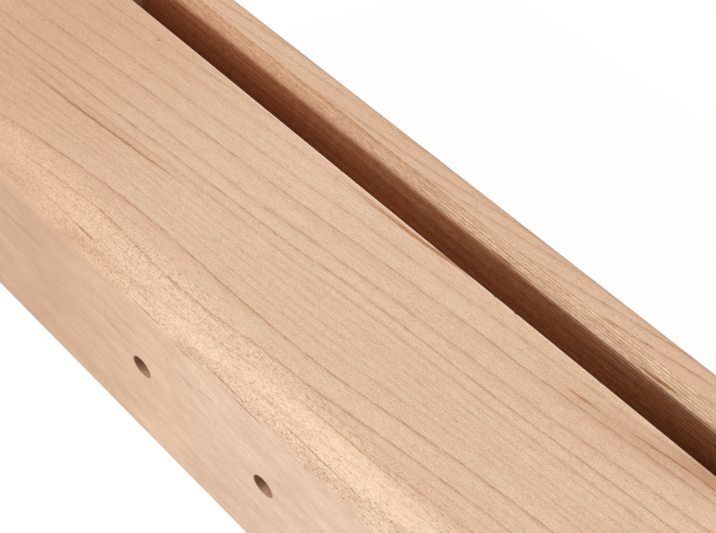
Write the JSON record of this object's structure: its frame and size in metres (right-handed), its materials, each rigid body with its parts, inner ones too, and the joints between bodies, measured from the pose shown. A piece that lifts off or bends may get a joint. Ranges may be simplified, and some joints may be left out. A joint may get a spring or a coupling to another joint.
{
  "type": "orchestral wood block",
  "caption": "Rectangular maple wood block with a long slot behind a thin playing plate, one rounded long edge and two screw holes for a bracket.",
  "frame": {"origin": "centre of the back face, on which the block lies with its slotted front face up", "axes": "+X along the block, +Y from the bracket face towards the playing plate, +Z out of the slotted front face"},
  "size_m": [0.2286, 0.067, 0.058],
  "materials": {
    "maple_body": "sanded pale maple under a thin satin sealer",
    "maple_plate": "sanded pale maple under a thin satin sealer, machined on the slot side",
    "maple_filler": "machined maple, unsanded inside the slot"
  },
  "bodies": {
    "root": {"body_board": "maple_body", "playing_plate": "maple_plate", "back_rail": "maple_filler", "left_end_block": "maple_filler", "right_end_block": "maple_filler"}
  },
  "joints": []
}
